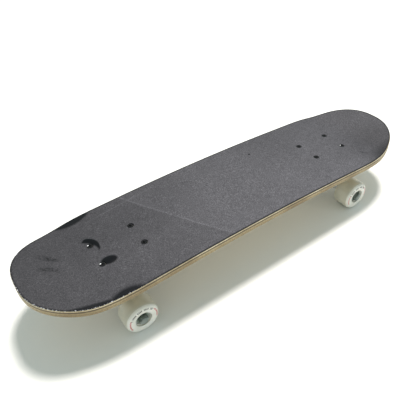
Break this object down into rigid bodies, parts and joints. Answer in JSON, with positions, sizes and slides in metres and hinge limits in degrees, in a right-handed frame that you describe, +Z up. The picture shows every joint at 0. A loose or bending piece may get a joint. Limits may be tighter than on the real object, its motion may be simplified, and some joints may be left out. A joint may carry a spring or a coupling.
{
  "type": "skateboard",
  "caption": "Complete skateboard: gently arched plywood deck kicked up at both ends, black grip tape, steerable kingpin trucks and urethane wheels on ball bearings.",
  "frame": {"origin": "on the ground under the middle of the deck's outline", "axes": "+X along the board to the nose, +Y across to the rider's left, +Z up"},
  "size_m": [0.671, 0.1764, 0.1075],
  "materials": {
    "maple": "lacquered maple plywood, seven plies",
    "grip": "black silicon-carbide grip tape",
    "black_steel": "black-oxide steel",
    "zinc_steel": "bright zinc-plated steel",
    "cast_alloy": "cast and tumbled aluminium alloy",
    "black_rubber": "moulded black rubber",
    "black_nylon": "moulded black nylon",
    "bushing_urethane": "cast urethane",
    "wheel_urethane": "cast off-white urethane, printed side face",
    "bearing_steel": "ground bearing steel",
    "shield_steel": "pressed steel shield",
    "cage_nylon": "moulded nylon"
  },
  "bodies": {
    "board": {"deck": "maple", "grip_tape": "grip", "deck_bolts": "black_steel", "deck_nuts": "zinc_steel", "front_riser_pad": "black_rubber", "front_baseplate": "cast_alloy", "front_pivot_cup": "black_nylon", "front_kingpin": "zinc_steel", "front_kingpin_nut": "zinc_steel", "front_board_bushing": "bushing_urethane", "front_road_bushing": "bushing_urethane", "front_board_washer": "zinc_steel", "front_road_washer": "zinc_steel", "rear_riser_pad": "black_rubber", "rear_baseplate": "cast_alloy", "rear_pivot_cup": "black_nylon", "rear_kingpin": "zinc_steel", "rear_kingpin_nut": "zinc_steel", "rear_board_bushing": "bushing_urethane", "rear_road_bushing": "bushing_urethane", "rear_board_washer": "zinc_steel", "rear_road_washer": "zinc_steel"},
    "front_hanger_set": {"front_hanger": "cast_alloy", "front_axle": "zinc_steel", "front_axle_nuts": "zinc_steel", "front_speed_washers": "zinc_steel", "front_inner_races": "bearing_steel", "front_bearing_spacers": "zinc_steel"},
    "rear_hanger_set": {"rear_hanger": "cast_alloy", "rear_axle": "zinc_steel", "rear_axle_nuts": "zinc_steel", "rear_speed_washers": "zinc_steel", "rear_inner_races": "bearing_steel", "rear_bearing_spacers": "zinc_steel"},
    "front_left_wheel_set": {"front_left_wheel": "wheel_urethane", "front_left_outer_races": "bearing_steel", "front_left_shields": "shield_steel"},
    "front_left_roller_set": {"front_left_balls": "bearing_steel", "front_left_cages": "cage_nylon"},
    "front_right_wheel_set": {"front_right_wheel": "wheel_urethane", "front_right_outer_races": "bearing_steel", "front_right_shields": "shield_steel"},
    "front_right_roller_set": {"front_right_balls": "bearing_steel", "front_right_cages": "cage_nylon"},
    "rear_left_wheel_set": {"rear_left_wheel": "wheel_urethane", "rear_left_outer_races": "bearing_steel", "rear_left_shields": "shield_steel"},
    "rear_left_roller_set": {"rear_left_balls": "bearing_steel", "rear_left_cages": "cage_nylon"},
    "rear_right_wheel_set": {"rear_right_wheel": "wheel_urethane", "rear_right_outer_races": "bearing_steel", "rear_right_shields": "shield_steel"},
    "rear_right_roller_set": {"rear_right_balls": "bearing_steel", "rear_right_cages": "cage_nylon"}
  },
  "joints": [
    {"name": "front_steer", "type": "hinge", "parent": "board", "child": "front_hanger_set", "pos_m": [0.19015, 0, 0.04552], "axis": [0.8999, 0, 0.4361], "range_deg": [-12, 12], "stiffness_Nm_per_rad": 40, "deforming": ["front_board_bushing", "front_road_bushing"]},
    {"name": "front_left_wheel_spin", "type": "hinge", "parent": "front_hanger_set", "child": "front_left_wheel_set", "pos_m": [0.21435, 0.0688, 0.025], "axis": [0, 1, 0], "continuous": true},
    {"name": "front_left_roller_orbit", "type": "hinge", "parent": "front_hanger_set", "child": "front_left_roller_set", "pos_m": [0.21435, 0.0688, 0.025], "axis": [0, 1, 0], "continuous": true},
    {"name": "front_right_wheel_spin", "type": "hinge", "parent": "front_hanger_set", "child": "front_right_wheel_set", "pos_m": [0.21435, -0.0688, 0.025], "axis": [0, 1, 0], "continuous": true},
    {"name": "front_right_roller_orbit", "type": "hinge", "parent": "front_hanger_set", "child": "front_right_roller_set", "pos_m": [0.21435, -0.0688, 0.025], "axis": [0, 1, 0], "continuous": true},
    {"name": "rear_steer", "type": "hinge", "parent": "board", "child": "rear_hanger_set", "pos_m": [-0.18615, 0, 0.04552], "axis": [-0.8999, 0, 0.4361], "range_deg": [-12, 12], "stiffness_Nm_per_rad": 40, "deforming": ["rear_board_bushing", "rear_road_bushing"]},
    {"name": "rear_left_wheel_spin", "type": "hinge", "parent": "rear_hanger_set", "child": "rear_left_wheel_set", "pos_m": [-0.21035, 0.0688, 0.025], "axis": [0, 1, 0], "continuous": true},
    {"name": "rear_left_roller_orbit", "type": "hinge", "parent": "rear_hanger_set", "child": "rear_left_roller_set", "pos_m": [-0.21035, 0.0688, 0.025], "axis": [0, 1, 0], "continuous": true},
    {"name": "rear_right_wheel_spin", "type": "hinge", "parent": "rear_hanger_set", "child": "rear_right_wheel_set", "pos_m": [-0.21035, -0.0688, 0.025], "axis": [0, 1, 0], "continuous": true},
    {"name": "rear_right_roller_orbit", "type": "hinge", "parent": "rear_hanger_set", "child": "rear_right_roller_set", "pos_m": [-0.21035, -0.0688, 0.025], "axis": [0, 1, 0], "continuous": true}
  ],
  "couplings": [
    {"joint": "front_left_roller_orbit", "follows": "front_left_wheel_spin", "ratio": 0.63},
    {"joint": "front_right_roller_orbit", "follows": "front_right_wheel_spin", "ratio": 0.63},
    {"joint": "rear_left_roller_orbit", "follows": "rear_left_wheel_spin", "ratio": 0.63},
    {"joint": "rear_right_roller_orbit", "follows": "rear_right_wheel_spin", "ratio": 0.63}
  ]
}
